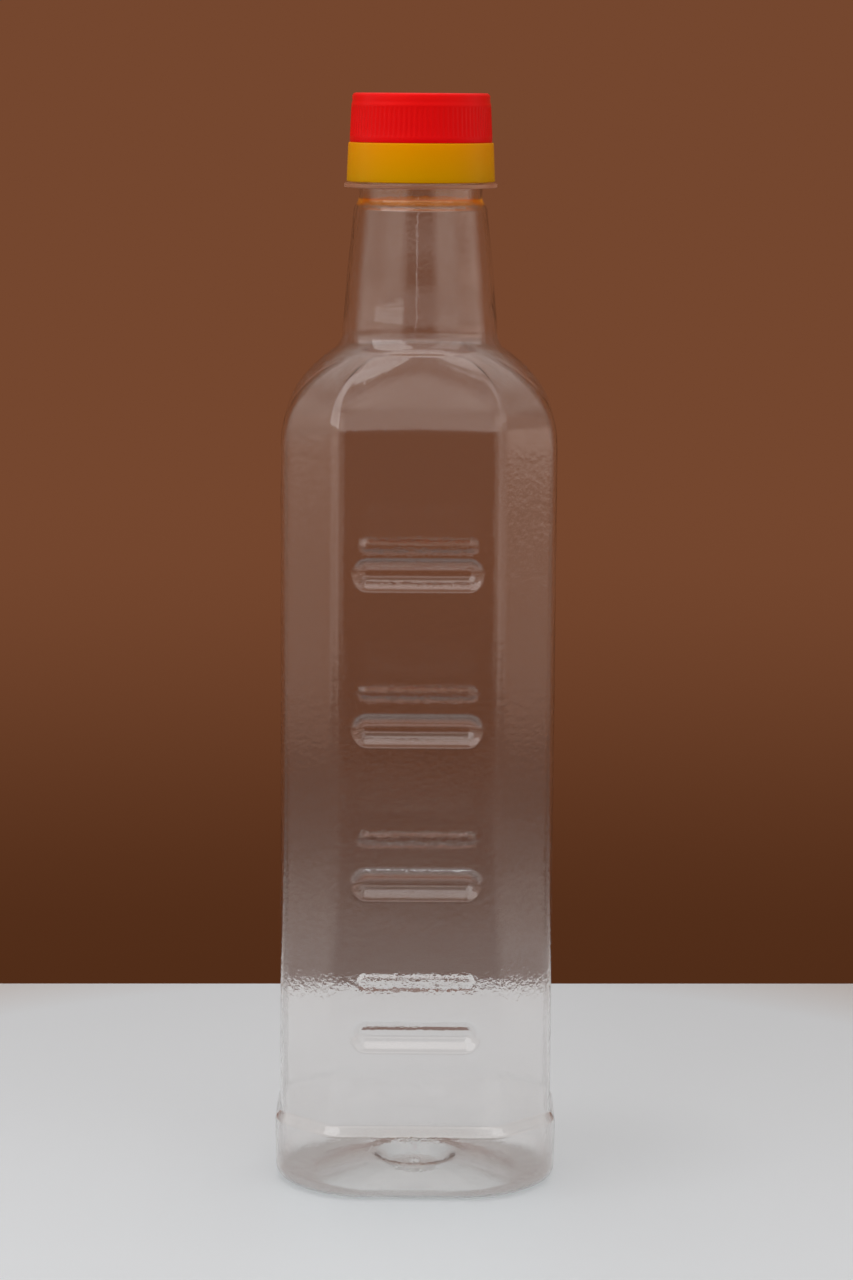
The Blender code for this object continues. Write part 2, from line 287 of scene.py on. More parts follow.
def top_stations():
    stations = []
    steps = 36
    for i in range(1, steps):                             # shoulder
        share = 1.0 - (1.0 - i / steps) ** 1.3
        stations.append(station(mix(BODY_TOP, SHOULDER_TOP, share)))
    for i in range(15):                                   # flare into the neck
        share = i / 14
        z = mix(SHOULDER_TOP, NECK_FLARE_TOP, share)
        crease = CREASE_DEPTH * smooth((z - SHOULDER_TOP) / CREASE_HEIGHT) * (1.0 - share)
        radius = mix(NECK_FLARE_RADIUS, SHOULDER_RADIUS, (1.0 - share) ** 2.4) - crease
        stations.append(station(z, roundness=1.0, radius=radius))
    stations += round_stations(NECK_ROOT, WALL_NECK_ROOT)
    stations += round_stations(NECK_CONE, WALL_NECK)
    for i in range(11):                                   # step under the flange
        share = i / 10
        stations.append(station(mix(STEP_BOTTOM, STEP_TOP, share), roundness=1.0,
                                radius=mix(STEP_RADIUS, SEAT_RADIUS, smooth(share)),
                                wall=WALL_NECK))
    stations += round_stations(MOUTH, WALL_NECK)
    stations.append(station(MOUTH_TOP, roundness=1.0, radius=MOUTH_RADIUS, wall=WALL_NECK))
    return stations


def bottle_stations():
    body = [station(z) for z in body_heights()]
    return base_stations() + body + top_stations()


def section_ring(level):
    """All the points of one level, anticlockwise from the middle of the front."""
    z, grow, corner, level_roundness, radius, wall = level
    quarter = []
    for place in quarter_places() + [5.0]:
        x, y = section_point(place, grow, corner or FRONT_CORNER, corner or SIDE_CORNER)
        turn = round_angle(place)
        roundness = level_roundness
        narrowing = level_roundness
        if BODY_TOP < z < SHOULDER_TOP:
            roundness = shoulder_roundness(z, place)
            # a panel keeps its width for longer than it keeps its place
            narrowing = roundness ** mix(1.9, 1.0, towards_corner(place))
        quarter.append((mix(x, radius * math.sin(turn), narrowing),
                        mix(y, -radius * math.cos(turn), roundness)))
    right = quarter + [(x, -y) for x, y in reversed(quarter[:-1])]
    ring = right + [(-x, y) for x, y in reversed(right[1:-1])]
    pressed = []
    for x, y in ring:
        if LEDGE_TOP < z < BODY_TOP and abs(x) < PANEL_HALF_WIDTH:
            size = FRONT_GROOVE if y < 0.0 else BACK_GROOVE
            y -= math.copysign(groove_press(x, z, size), y)
        pressed.append((x, y))
    return pressed


def wrap_grid(rings, heights):
    """Bend a flat grid into a skin: its columns go round the rings and its rows go up."""
    columns = len(rings[0])
    mesh = bmesh.new()
    bmesh.ops.create_grid(mesh, x_segments=columns, y_segments=len(rings) - 1, size=1.0)
    for vert in mesh.verts:
        column = round((vert.co.x + 1.0) / 2.0 * columns) % columns
        row = round((vert.co.y + 1.0) / 2.0 * (len(rings) - 1))
        x, y = rings[row][column]
        vert.co = (x, y, heights[row])
    bmesh.ops.remove_doubles(mesh, verts=mesh.verts[:], dist=0.5e-6)
    bmesh.ops.recalc_face_normals(mesh, faces=mesh.faces[:])
    return mesh


def finish_piece(name, mesh, sharp_angle):
    """Turn a mesh into a smooth-shaded object that rides on the root body."""
    data = bpy.data.meshes.new(name)
    mesh.to_mesh(data)
    mesh.free()
    data.shade_smooth()
    data.set_sharp_from_angle(angle=math.radians(sharp_angle))
    piece = bpy.data.objects.new(name, data)
    bpy.context.scene.collection.objects.link(piece)
    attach(piece, "root")
    return piece


def wall_at(level_heights, level_walls, z):
    """The wall at a height, between those of the two levels round it."""
    for low, high, wall, wall_above in zip(level_heights, level_heights[1:],
                                           level_walls, level_walls[1:]):
        if low <= z <= high:
            return mix(wall, wall_above, (z - low) / max(high - low, 1e-9))
    return level_walls[-1]


def make_bottle():
    levels = bottle_stations()
    rings = [section_ring(level) for level in levels]
    mesh = wrap_grid(rings, [level[0] for level in levels])
    mesh.normal_update()
    rim = [edge for edge in mesh.edges if edge.is_boundary]
    outer = mesh.verts[:]
    # the inner skin is a copy of the outer one, moved in by the wall's thickness
    band_start = FOOT_ROUND + 0.01 * MM
    upright = [level for level in levels if level[0] > band_start]
    heights = [level[0] for level in upright]
    walls = [level[5] for level in upright]
    copied = bmesh.ops.duplicate(mesh, geom=mesh.verts[:] + mesh.edges[:] + mesh.faces[:])
    twins = copied["vert_map"]
    inner_faces = [item for item in copied["geom"] if isinstance(item, bmesh.types.BMFace)]
    moves = {}
    for vert in outer:
        if vert.co.z > band_start:
            wall = wall_at(heights, walls, vert.co.z) + groove_thickening(vert.co)
        else:
            wall = mix(WALL_BASE, WALL_FOOT, smooth(vert.co.xy.length / WALL_BASE_RADIUS))
        moves[twins[vert]] = vert.co - vert.normal * wall
    for vert, place in moves.items():
        vert.co = place
        if place.z > MOUTH_TOP - 0.1 * MM:
            vert.co.z = MOUTH_TOP
    bmesh.ops.reverse_faces(mesh, faces=inner_faces)
    inner_rim = [edge for edge in mesh.edges if edge.is_boundary and edge not in rim]
    bmesh.ops.bridge_loops(mesh, edges=rim + inner_rim)
    # the support flange grows out of the band of faces under the collar
    band = []
    for face in mesh.faces:
        middle = face.calc_center_median()
        if FLANGE_BOTTOM < middle.z < FLANGE_TOP and middle.xy.length > SEAT_RADIUS - 0.3 * MM:
            band.append(face)
    grown = bmesh.ops.extrude_face_region(mesh, geom=band)["geom"]
    bmesh.ops.delete(mesh, geom=band, context="FACES")
    lips = [item for item in grown if isinstance(item, bmesh.types.BMVert)]
    for vert in lips:
        vert.co.xy = vert.co.xy.normalized() * FLANGE_RADIUS
    mesh.normal_update()
    lip_edges = []
    for edge in mesh.edges:
        if all(vert in lips for vert in edge.verts):
            if abs(edge.verts[0].co.z - edge.verts[1].co.z) < 0.01 * MM:
                lip_edges.append(edge)
    bmesh.ops.bevel(mesh, geom=lip_edges, offset=FLANGE_EDGE, offset_type="OFFSET", segments=3,
                    profile=0.5, affect="EDGES", material=-1)
    piece = finish_piece("bottle_shell", mesh, sharp_angle=50.0)
    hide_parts("bottle")
    return piece


def grey(level):
    return level, level, level


def map_range(tree, value, from_low, from_high, to_low=0.0, to_high=1.0):
    """Carry a value from one range to another, and hold it at the ends."""
    node = tree.nodes.new("ShaderNodeMapRange")
    node.inputs["From Min"].default_value = from_low
    node.inputs["From Max"].default_value = from_high
    node.inputs["To Min"].default_value = to_low
    node.inputs["To Max"].default_value = to_high
    tree.links.new(value, node.inputs["Value"])
    return node.outputs["Result"]


def colour_by(tree, value, stops):
    """Colour that follows a value from 0 to 1, through (position, colour) stops."""
    node = tree.nodes.new("ShaderNodeValToRGB")
    elements = node.color_ramp.elements
    while len(elements) > 1:
        elements.remove(elements[-1])
    elements[0].position = stops[0][0]
    elements[0].color = (*stops[0][1], 1.0)
    for position, colour in stops[1:]:
        element = elements.new(position)
        element.color = (*colour, 1.0)
    tree.links.new(value, node.inputs["Fac"])
    return node.outputs["Color"]


def arithmetic(tree, operation, first, second=None):
    """The result of a Math node on one or two linked values."""
    node = tree.nodes.new("ShaderNodeMath")
    node.operation = operation
    tree.links.new(first, node.inputs[0])
    if second is not None:
        tree.links.new(second, node.inputs[1])
    return node.outputs["Value"]


def noise_bump(tree, vector, scale, detail, depth, normal=None):
    """A bump of soft noise, laid over the bump before it."""
    noise = tree.nodes.new("ShaderNodeTexNoise")
    noise.inputs["Scale"].default_value = scale
    noise.inputs["Detail"].default_value = detail
    tree.links.new(vector, noise.inputs["Vector"])
    bump = tree.nodes.new("ShaderNodeBump")
    bump.inputs["Strength"].default_value = 1.0
    bump.inputs["Distance"].default_value = depth
    tree.links.new(noise.outputs["Fac"], bump.inputs["Height"])
    if normal is not None:
        tree.links.new(normal, bump.inputs["Normal"])
    return bump.outputs["Normal"]


def clear_plastic():
    """Blown clear plastic: a little tint, faint orange peel, upright flow lines, and a painted
    reflection and glow of the collar's yellow light under it.
    """
    material = bpy.data.materials.new("clear_blown_plastic")
    material.use_nodes = True
    tree = material.node_tree
    nodes = tree.nodes
    links = tree.links
    shader = nodes["Principled BSDF"]
    shader.inputs["Transmission Weight"].default_value = 1.0
    shader.inputs["IOR"].default_value = 1.575
    place = nodes.new("ShaderNodeTexCoord").outputs["Object"]
    axes = nodes.new("ShaderNodeSeparateXYZ")
    links.new(place, axes.inputs["Vector"])
    height = axes.outputs["Z"]

    # painted reflection of the collar's yellow light: the step and the flange under the collar
    # get an orange tint and a faint painted glow
    clear = (0.965, 0.955, 0.95)
    orange = (1.0, 0.52, 0.20)
    painted_flange_warmth = (1.0, 0.80, 0.50)
    painted_step_glow = (0.050, 0.021, 0.0)
    painted_flange_glow = (0.045, 0.018, 0.014)
    smooth_skin, frosted_skin, hazy_skin = 0.03, 0.30, 0.16
    below_collar = map_range(tree, height, 228.0 * MM, 238.0 * MM)
    tint = colour_by(tree, below_collar, [
        (0.28, clear), (0.31, orange), (0.43, orange), (0.46, clear),
        (0.66, clear), (0.70, painted_flange_warmth), (0.78, painted_flange_warmth), (0.82, clear)])
    links.new(tint, shader.inputs["Base Color"])
    # painted glow of the collar's light on the step and the flange
    painted_collar_glow = colour_by(tree, below_collar, [
        (0.29, grey(0.0)), (0.32, painted_step_glow), (0.42, painted_step_glow), (0.45, grey(0.0)),
        (0.67, grey(0.0)), (0.70, painted_flange_glow), (0.78, painted_flange_glow), (0.81, grey(0.0))])
    links.new(painted_collar_glow, shader.inputs["Emission Color"])
    shader.inputs["Emission Strength"].default_value = 1.0

    # the flange is frosted, and the thick foot is blown less smooth than the body
    frosting = colour_by(tree, below_collar, [
        (0.66, grey(smooth_skin)), (0.70, grey(frosted_skin)),
        (0.78, grey(frosted_skin)), (0.82, grey(smooth_skin))])
    foot_haze = map_range(tree, height, 1.8 * MM, 3.4 * MM, hazy_skin, smooth_skin)
    links.new(arithmetic(tree, "MAXIMUM", frosting, foot_haze), shader.inputs["Roughness"])

    wave = noise_bump(tree, place, scale=70.0, detail=1.0, depth=0.060 * MM)
    upright = nodes.new("ShaderNodeMapping")
    upright.inputs["Scale"].default_value = (1.0, 1.0, 0.012)
    links.new(place, upright.inputs["Vector"])
    flow = noise_bump(tree, upright.outputs["Vector"], scale=420.0, detail=2.0,
                      depth=0.025 * MM, normal=wave)
    peel = noise_bump(tree, place, scale=800.0, detail=2.0, depth=0.030 * MM, normal=flow)
    links.new(peel, shader.inputs["Normal"])

    # lamps shine straight through the walls, so the bottle's shadow stays pale
    see_through = nodes.new("ShaderNodeBsdfTransparent")
    see_through.inputs["Color"].default_value = (0.90, 0.90, 0.895, 1.0)
    path = nodes.new("ShaderNodeLightPath")
    lamp_light = nodes.new("ShaderNodeMixShader")
    links.new(path.outputs["Is Shadow Ray"], lamp_light.inputs["Fac"])
    links.new(shader.outputs["BSDF"], lamp_light.inputs[1])
    links.new(see_through.outputs["BSDF"], lamp_light.inputs[2])
    links.new(lamp_light.outputs["Shader"], nodes["Material Output"].inputs["Surface"])
    return material


bottle = make_bottle()
bottle.data.materials.append(clear_plastic())


# ---------------------------------------------------------------------------
# Collar
# The plain lower ring of the closure, moulded in yellow plastic. It is pressed on
# over the mouth and rests on the bottle's support flange.

collar_low, collar_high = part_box("collar")
COLLAR_TOP_RADIUS = 16.8 * MM
COLLAR_BORE = 14.4 * MM
COLLAR_EDGE = 0.3 * MM
COLLAR_COLUMNS = 160
ROUGHNESS_SPREAD = 0.05               # how far the grain makes the gloss uneven
GRAIN_DEPTH = 0.004 * MM


def ring_of(radius, columns):
    return [(radius * math.sin(2.0 * math.pi * i / columns),
             -radius * math.cos(2.0 * math.pi * i / columns)) for i in range(columns)]


def collar_profile():
    """Radius and height round the collar's wall, from the inside bottom outwards."""
    bottom, top = collar_low.z, collar_high.z
    bottom_radius = collar_high.x
    profile = [(COLLAR_BORE, bottom)]
    for i in range(6):
        turn = math.radians(90.0 * i / 5)
        profile.append((bottom_radius - COLLAR_EDGE * (1.0 - math.sin(turn)),
                        bottom + COLLAR_EDGE * (1.0 - math.cos(turn))))
    for i in range(1, 8):
        share = i / 8
        profile.append((mix(bottom_radius, COLLAR_TOP_RADIUS, share),
                        mix(bottom + COLLAR_EDGE, top - COLLAR_EDGE, share)))
    for i in range(6):
        turn = math.radians(90.0 * i / 5)
        profile.append((COLLAR_TOP_RADIUS - COLLAR_EDGE * (1.0 - math.cos(turn)),
                        top - COLLAR_EDGE * (1.0 - math.sin(turn))))
    profile.append((COLLAR_BORE, top))
    profile.append((COLLAR_BORE, bottom))
    return profile


def make_collar():
    profile = collar_profile()
    rings = [ring_of(radius, COLLAR_COLUMNS) for radius, z in profile]
    mesh = wrap_grid(rings, [z for radius, z in profile])
    piece = finish_piece("collar_ring", mesh, sharp_angle=40.0)
    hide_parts("collar")
    return piece


def moulded_surface():
    """A group that both closure plastics use: colour from foot to top, and a fine grain."""
    group = bpy.data.node_groups.new("moulded_surface", "ShaderNodeTree")
    nodes = group.nodes
    links = group.links
    for name, kind in (("Foot Height", "Float"), ("Top Height", "Float"),
                       ("Foot Colour", "Color"), ("Top Colour", "Color"),
                       ("Grain Scale", "Float"), ("Least Roughness", "Float"),
                       ("Most Roughness", "Float")):
        group.interface.new_socket(name, in_out="INPUT", socket_type="NodeSocket" + kind)
    for name, kind in (("Colour", "Color"), ("Roughness", "Float"), ("Grain", "Float")):
        group.interface.new_socket(name, in_out="OUTPUT", socket_type="NodeSocket" + kind)
    given = nodes.new("NodeGroupInput")
    result = nodes.new("NodeGroupOutput")
    place = nodes.new("ShaderNodeTexCoord")
    height = nodes.new("ShaderNodeSeparateXYZ")
    links.new(place.outputs["Object"], height.inputs["Vector"])
    share = nodes.new("ShaderNodeMapRange")
    links.new(given.outputs["Foot Height"], share.inputs["From Min"])
    links.new(given.outputs["Top Height"], share.inputs["From Max"])
    links.new(height.outputs["Z"], share.inputs["Value"])
    shade = nodes.new("ShaderNodeMix")
    shade.data_type = "RGBA"
    links.new(given.outputs["Foot Colour"], shade.inputs["A"])
    links.new(given.outputs["Top Colour"], shade.inputs["B"])
    links.new(share.outputs["Result"], shade.inputs["Factor"])
    links.new(shade.outputs["Result"], result.inputs["Colour"])
    grain = nodes.new("ShaderNodeTexNoise")
    grain.inputs["Detail"].default_value = 4.0
    links.new(given.outputs["Grain Scale"], grain.inputs["Scale"])
    links.new(place.outputs["Object"], grain.inputs["Vector"])
    rough = nodes.new("ShaderNodeMapRange")
    links.new(given.outputs["Least Roughness"], rough.inputs["To Min"])
    links.new(given.outputs["Most Roughness"], rough.inputs["To Max"])
    links.new(grain.outputs["Fac"], rough.inputs["Value"])
    links.new(rough.outputs["Result"], result.inputs["Roughness"])
    links.new(grain.outputs["Fac"], result.inputs["Grain"])
    return group


closure_surface = moulded_surface()


def moulded_plastic(name, span, foot_colour, top_colour, gloss_tint, roughness, grain_scale):
    """Opaque moulded plastic with a fine grain; its colour runs over a span of heights."""
    material = bpy.data.materials.new(name)
    material.use_nodes = True
    nodes = material.node_tree.nodes
    links = material.node_tree.links
    shader = nodes["Principled BSDF"]
    shader.inputs["IOR"].default_value = 1.49
    shader.inputs["Specular Tint"].default_value = (*gloss_tint, 1.0)
    surface = nodes.new("ShaderNodeGroup")
    surface.node_tree = closure_surface
    surface.inputs["Foot Height"].default_value = span[0]
    surface.inputs["Top Height"].default_value = span[1]
    surface.inputs["Foot Colour"].default_value = (*foot_colour, 1.0)
    surface.inputs["Top Colour"].default_value = (*top_colour, 1.0)
    surface.inputs["Grain Scale"].default_value = grain_scale
    surface.inputs["Least Roughness"].default_value = roughness - ROUGHNESS_SPREAD
    surface.inputs["Most Roughness"].default_value = roughness + ROUGHNESS_SPREAD
    links.new(surface.outputs["Colour"], shader.inputs["Base Color"])
    links.new(surface.outputs["Roughness"], shader.inputs["Roughness"])
    shader.inputs["Subsurface Weight"].default_value = 0.2
    shader.inputs["Subsurface Radius"].default_value = (1.0, 0.4, 0.1)
    shader.inputs["Subsurface Scale"].default_value = 0.003
    bump = nodes.new("ShaderNodeBump")
    bump.inputs["Strength"].default_value = 1.0
    bump.inputs["Distance"].default_value = GRAIN_DEPTH
    links.new(surface.outputs["Grain"], bump.inputs["Height"])
    links.new(bump.outputs["Normal"], shader.inputs["Normal"])
    return material


collar = make_collar()
collar.data.materials.append(moulded_plastic(
    "yellow_moulded_plastic", span=(collar_low.z, collar_high.z),
    foot_colour=(0.66, 0.33, 0.0), top_colour=(0.93, 0.35, 0.0),
    gloss_tint=(1.0, 0.45, 0.0), roughness=0.42, grain_scale=1500.0))


# ---------------------------------------------------------------------------
# Lid
# A screw lid moulded in red plastic: a flat top with a rounded edge, and a skirt of
# fine upright grip ribs with a plain band above and below them.

lid_low, lid_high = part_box("lid")
LID_GAP = 0.05 * MM                   # to the collar under it
LID_INSIDE_TOP = lid_high.z - 2.1 * MM
LID_BOTTOM_EDGE = 0.2 * MM
LID_TOP_RADIUS = 15.9 * MM
LID_EDGE = 0.9 * MM
BAND_BOTTOM = 254.7 * MM              # plain band above the ribs
RIB_COUNT = 84
RIB_DEPTH = 0.2 * MM
RIB_COLUMNS = 4
RIB_TOP_RADIUS = 16.12 * MM
RIB_TOP = 253.6 * MM
RIB_BOTTOM = 246.5 * MM


def lid_profile():
    """Radius, height and how far the ribs stand clear, from the inside bottom to the top."""
    bottom, top = collar_high.z + LID_GAP, lid_high.z
    bottom_radius = lid_high.x
    profile = [(COLLAR_BORE, LID_INSIDE_TOP, 0.0), (COLLAR_BORE, bottom, 0.0)]
    for i in range(4):
        turn = math.radians(90.0 * i / 3)
        profile.append((bottom_radius - LID_BOTTOM_EDGE * (1.0 - math.sin(turn)),
                        bottom + LID_BOTTOM_EDGE * (1.0 - math.cos(turn)), 0.0))
    for share, ribs in ((0.0, 0.0), (0.03, 0.4), (0.07, 1.0), (0.35, 1.0), (0.65, 1.0),
                        (0.90, 1.0), (0.95, 0.5), (1.0, 0.0)):
        profile.append((mix(bottom_radius, RIB_TOP_RADIUS, share),
                        mix(RIB_BOTTOM, RIB_TOP, share), ribs))
    for i in range(1, 7):                                 # soft step up to the plain band
        share = i / 6
        profile.append((mix(RIB_TOP_RADIUS, LID_TOP_RADIUS, smooth(share)),
                        mix(RIB_TOP, BAND_BOTTOM, share), 0.0))
    for i in range(1, 9):                                 # rounded top edge
        turn = math.radians(90.0 * i / 8)
        profile.append((LID_TOP_RADIUS - LID_EDGE * (1.0 - math.cos(turn)),
                        top - LID_EDGE * (1.0 - math.sin(turn)), 0.0))
    for radius in (12.0, 8.0, 4.0, 1.0, 0.0):
        profile.append((radius * MM, top, 0.0))
    return profile


def make_lid():
    columns = RIB_COUNT * RIB_COLUMNS
    profile = lid_profile()
    rings = []
    for radius, z, ribs in profile:
        ring = []
        for i, (x, y) in enumerate(ring_of(1.0, columns)):
            wave = 0.5 - 0.5 * math.cos(2.0 * math.pi * i / RIB_COLUMNS)
            reach = radius - RIB_DEPTH * ribs * wave
            ring.append((x * reach, y * reach))
        rings.append(ring)
    mesh = wrap_grid(rings, [z for radius, z, ribs in profile])
    open_edges = [edge for edge in mesh.edges if edge.is_boundary]
    bmesh.ops.holes_fill(mesh, edges=open_edges, sides=0)
    bmesh.ops.recalc_face_normals(mesh, faces=mesh.faces[:])
    piece = finish_piece("lid_cap", mesh, sharp_angle=50.0)
    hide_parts("lid")
    return piece


lid = make_lid()
lid.data.materials.append(moulded_plastic(
    "red_moulded_plastic", span=(lid_low.z, lid_high.z),
    foot_colour=(0.92, 0.004, 0.006), top_colour=(1.0, 0.006, 0.006),
    gloss_tint=(1.0, 0.08, 0.06), roughness=0.36, grain_scale=1300.0))


# ---------------------------------------------------------------------------
# Table, studio and camera
# A pale finite table top, a brown backdrop that darkens towards the table, soft light
# from above and a small lamp beside the camera.

IMAGE_HEIGHT = 1280.0
FOCAL_PIXELS = 3538.0
SENSOR = 36.0
CAMERA_PLACE = (2.0 * MM, -824.8 * MM, 257.3 * MM)
CAMERA_PITCH = math.radians(8.846)
CAMERA_ROLL = math.radians(0.37)
TABLE_BACK = 178.6 * MM
TABLE_FRONT = -600.0 * MM
TABLE_HALF_WIDTH = 600.0 * MM
TABLE_THICKNESS = 18.0 * MM
TABLE_DROP = 0.02 * MM                # keeps the table top clear of the foot
TABLE_EDGE = 0.8 * MM
TABLE_REACH = 600.0 * MM              # how far from the bottle the light on it fades out
TABLE_TURN = math.radians(1.45)
SHADE_PLACE = (45.0 * MM, 20.0 * MM, 0.0)
SHADE_RADIUS = 50.0 * MM
BACKDROP_BROWN = (0.178, 0.063, 0.028)
BACKDROP_LOW_BROWN = (0.082, 0.026, 0.0095)
BACKDROP_LOW = -0.246                 # the brown darkens between these directions
BACKDROP_HIGH = -0.116


def make_camera():
    data = bpy.data.cameras.new("camera")
    data.sensor_width = SENSOR
    data.lens = FOCAL_PIXELS / IMAGE_HEIGHT * SENSOR
    data.clip_start = 0.05
    data.clip_end = 50.0
    camera = bpy.data.objects.new("camera", data)
    tilt = Matrix.Rotation(math.radians(90.0) - CAMERA_PITCH, 4, "X")
    roll = Matrix.Rotation(CAMERA_ROLL, 4, "Z")
    camera.matrix_world = Matrix.Translation(CAMERA_PLACE) @ tilt @ roll
    bpy.context.scene.collection.objects.link(camera)
    bpy.context.scene.camera = camera


def make_table():
    mesh = bmesh.new()
    bmesh.ops.create_cube(mesh, size=1.0)
    for vert in mesh.verts:
        vert.co.x *= 2.0 * TABLE_HALF_WIDTH
        vert.co.y = mix(TABLE_FRONT, TABLE_BACK, vert.co.y + 0.5)
        vert.co.z = (vert.co.z - 0.5) * TABLE_THICKNESS - TABLE_DROP
    turn = Matrix.Rotation(TABLE_TURN, 4, "Z")
    pivot = Matrix.Translation((0.0, TABLE_BACK, 0.0))
    bmesh.ops.transform(mesh, matrix=pivot @ turn @ pivot.inverted(), verts=mesh.verts[:])
    bmesh.ops.bevel(mesh, geom=mesh.edges[:], offset=TABLE_EDGE, offset_type="OFFSET",
                    segments=3, profile=0.5, affect="EDGES", material=-1)
    data = bpy.data.meshes.new("table_top")
    mesh.to_mesh(data)
    mesh.free()
    table = bpy.data.objects.new("table_top", data)
    bpy.context.scene.collection.objects.link(table)
    return table


def pale_laminate():
    """Pale table top with a painted pool of light: it darkens far from the bottle and towards
    the backdrop.
    """
    material = bpy.data.materials.new("pale_laminate")
    material.use_nodes = True
    tree = material.node_tree
    nodes = tree.nodes
    links = tree.links
    shader = nodes["Principled BSDF"]
    shader.inputs["Roughness"].default_value = 0.5
    place = nodes.new("ShaderNodeTexCoord").outputs["Object"]
    axes = nodes.new("ShaderNodeSeparateXYZ")
    links.new(place, axes.inputs["Vector"])
    away = nodes.new("ShaderNodeVectorMath")
    away.operation = "LENGTH"
    links.new(place, away.inputs[0])
    # painted pool of light: the table's colour is bright round the bottle and fades to dark far
    # from it
    reach = map_range(tree, away.outputs["Value"], 0.0, TABLE_REACH)
    shade = colour_by(tree, reach, [
        (0.30, (0.74, 0.81, 0.86)), (0.36, grey(0.65)), (0.45, grey(0.48)),
        (0.54, grey(0.30)), (0.66, grey(0.10)), (0.93, grey(0.03))])

    # painted shade and light: a little darker towards the back and on the right, lighter out at
    # both sides
    painted_shade_towards_back = map_range(tree, axes.outputs["Y"], -70.0 * MM, 180.0 * MM, 1.0, 0.84)
    painted_shade_on_right = map_range(tree, axes.outputs["X"], -20.0 * MM, 60.0 * MM, 1.0, 0.965)
    sideways = arithmetic(tree, "ABSOLUTE", axes.outputs["X"])
    painted_light_out_to_sides = map_range(tree, sideways, 130.0 * MM, 230.0 * MM, 1.0, 1.45)
    # painted soft shadow beside the foot, on the right
    beside = nodes.new("ShaderNodeVectorMath")
    beside.operation = "DISTANCE"
    beside.inputs[1].default_value = SHADE_PLACE
    links.new(place, beside.inputs[0])
    painted_shadow_beside_foot = map_range(tree, beside.outputs["Value"], 0.0, SHADE_RADIUS, 0.93, 1.0)
    painted_shadow_beside_foot.node.interpolation_type = "SMOOTHSTEP"

    # the painted shade and light are multiplied into the table's colour
    strength = arithmetic(tree, "MULTIPLY", painted_shade_towards_back, painted_shade_on_right)
    strength = arithmetic(tree, "MULTIPLY", strength, painted_shadow_beside_foot)
    strength = arithmetic(tree, "MULTIPLY", strength, painted_light_out_to_sides)
    shaded = nodes.new("ShaderNodeVectorMath")
    shaded.operation = "SCALE"
    links.new(shade, shaded.inputs[0])
    links.new(strength, shaded.inputs["Scale"])
    links.new(shaded.outputs["Vector"], shader.inputs["Base Color"])
    return material


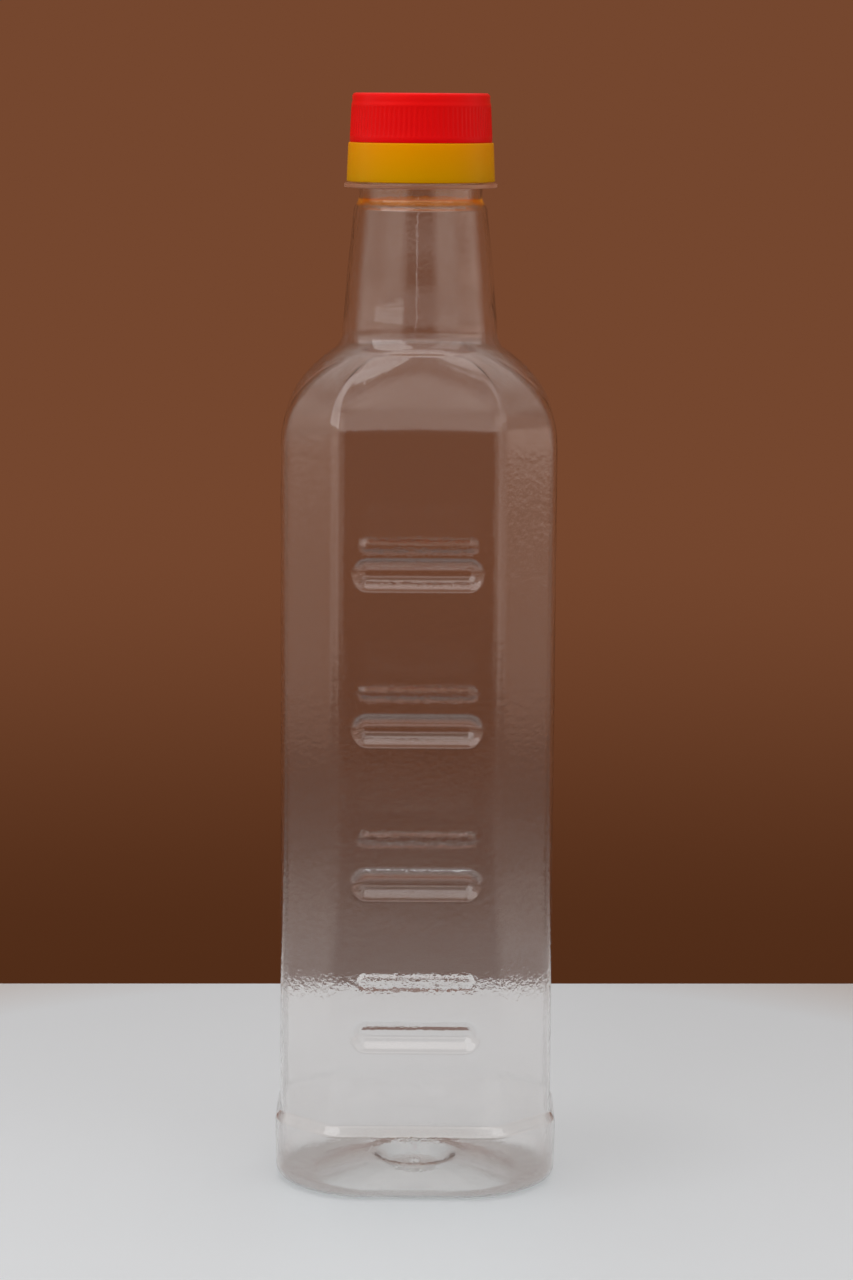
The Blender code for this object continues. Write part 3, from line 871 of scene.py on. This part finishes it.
def make_studio():
    """A surround by direction: the brown backdrop, and soft panels and dark gaps around."""
    world = bpy.data.worlds.new("studio")
    bpy.context.scene.world = world
    world.use_nodes = True
    tree = world.node_tree
    nodes = tree.nodes
    links = tree.links
    axes = nodes.new("ShaderNodeSeparateXYZ")
    links.new(nodes.new("ShaderNodeTexCoord").outputs["Generated"], axes.inputs["Vector"])
    height = axes.outputs["Z"]
    sideways = arithmetic(tree, "ABSOLUTE", axes.outputs["X"])

    def over(value, low, high, stops):
        share = map_range(tree, value, low, high)
        return colour_by(tree, share, [((at - low) / (high - low), colour)
                                       for at, colour in stops])

    def by_height(stops):
        """Light by direction, from just under the horizon (-0.3) to straight up (1)."""
        return over(height, -0.3, 1.0, stops)

    def blend(factor, first, second):
        mixed = nodes.new("ShaderNodeMix")
        mixed.data_type = "RGBA"
        links.new(factor, mixed.inputs["Factor"])
        links.new(first, mixed.inputs["A"])
        links.new(second, mixed.inputs["B"])
        return mixed.outputs["Result"]

    # the backdrop darkens smoothly towards the table, and is lit from above high up
    backdrop_stops = []
    for i in range(9):
        share = i / 8
        brown = tuple(mix(low, high, smooth(share))
                      for low, high in zip(BACKDROP_LOW_BROWN, BACKDROP_BROWN))
        backdrop_stops.append((mix(BACKDROP_LOW, BACKDROP_HIGH, share), brown))
    backdrop = by_height(backdrop_stops + [
        (0.03, BACKDROP_BROWN), (0.35, (0.20, 0.075, 0.036)), (0.60, (0.36, 0.32, 0.29)),
        (0.80, (0.98, 0.92, 0.88)), (1.0, (1.3, 1.22, 1.18))])
    # the room before the bottle: ahead of it, off its cut corners and at its sides
    front = by_height([
        (-0.20, grey(0.05)), (-0.08, grey(0.058)), (0.05, grey(0.12)), (0.13, grey(0.22)),
        (0.19, (0.70, 0.65, 0.62)), (0.26, (1.02, 0.96, 0.92)), (0.48, (1.02, 0.96, 0.92)),
        (0.60, (0.42, 0.37, 0.34)), (0.84, (0.44, 0.39, 0.36)), (0.91, (1.6, 1.5, 1.45)),
        (1.0, (1.7, 1.6, 1.55))])
    corners = by_height([
        (-0.22, (0.56, 0.50, 0.46)), (-0.17, (0.56, 0.50, 0.46)), (-0.10, (0.58, 0.51, 0.47)),
        (0.08, (0.60, 0.54, 0.50)), (0.20, (0.85, 0.78, 0.74)), (0.38, (0.82, 0.74, 0.69)),
        (0.50, (0.45, 0.40, 0.37)), (0.80, (0.35, 0.31, 0.29)), (1.0, (0.58, 0.53, 0.50))])
    sides = by_height([
        (-0.22, (0.38, 0.29, 0.25)), (-0.18, (0.38, 0.29, 0.25)), (-0.13, (0.30, 0.245, 0.21)),
        (-0.10, (0.30, 0.245, 0.21)), (0.02, (0.50, 0.46, 0.43)), (0.13, (0.64, 0.57, 0.53)),
        (0.35, (0.85, 0.77, 0.72)), (0.60, (0.78, 0.70, 0.66)), (1.0, (0.68, 0.62, 0.58))])
    right_window = by_height([
        (-0.12, (0.90, 0.72, 0.64)), (0.08, (1.0, 0.82, 0.74)), (0.14, (0.45, 0.40, 0.37)),
        (0.30, (0.50, 0.45, 0.42)), (0.42, (0.85, 0.77, 0.72)), (0.60, (0.70, 0.64, 0.60))])

    window_share = arithmetic(tree, "MULTIPLY", map_range(tree, axes.outputs["X"], 0.80, 0.86),
                              map_range(tree, height, -0.115, -0.095))
    side_share = over(sideways, 0.0, 1.0, [(0.82, grey(0.0)), (0.96, grey(1.0))])
    corner_share = over(sideways, 0.0, 1.0, [(0.32, grey(0.0)), (0.52, grey(1.0))])
    behind_share = over(axes.outputs["Y"], -1.0, 1.0, [(0.20, grey(0.0)), (0.46, grey(1.0))])
    room = blend(window_share, sides, right_window)
    room = blend(side_share, corners, room)
    room = blend(corner_share, front, room)
    uneven = nodes.new("ShaderNodeVectorMath")            # a little brighter from the left
    uneven.operation = "SCALE"
    links.new(room, uneven.inputs[0])
    links.new(map_range(tree, axes.outputs["X"], -1.0, 1.0, 1.07, 0.93),
              uneven.inputs["Scale"])
    surround = blend(behind_share, uneven.outputs["Vector"], backdrop)
    links.new(surround, nodes["Background"].inputs["Color"])


def soft_light(name, place, aim, width, depth, radiance):
    data = bpy.data.lights.new(name, "AREA")
    data.shape = "RECTANGLE"
    data.size = width
    data.size_y = depth
    data.energy = radiance * math.pi * width * depth
    light = bpy.data.objects.new(name, data)
    turn = (Vector(aim) - Vector(place)).to_track_quat("-Z", "Y")
    light.matrix_world = Matrix.Translation(place) @ turn.to_matrix().to_4x4()
    bpy.context.scene.collection.objects.link(light)


make_camera()
table = make_table()
table.data.materials.append(pale_laminate())
make_studio()
soft_light("left_softbox", place=(-1.5, -1.2, 1.75), aim=(0.0, 0.0, 0.12),
           width=2.2, depth=2.0, radiance=1.35)
soft_light("right_softbox", place=(1.5, -1.3, 1.75), aim=(0.0, 0.0, 0.12),
           width=1.6, depth=1.6, radiance=0.55)
soft_light("camera_lamp", place=(-0.09, -1.0, 0.34), aim=(0.0, 0.0, 0.22),
           width=0.035, depth=0.12, radiance=1.2)

view = bpy.context.scene.view_settings
view.view_transform = "Standard"
view.look = "None"
# light passes four skins of clear plastic, and many more where it runs along a wall
cycles = bpy.context.scene.cycles
cycles.use_denoising = True
cycles.max_bounces = 28
cycles.transmission_bounces = 28
cycles.glossy_bounces = 12
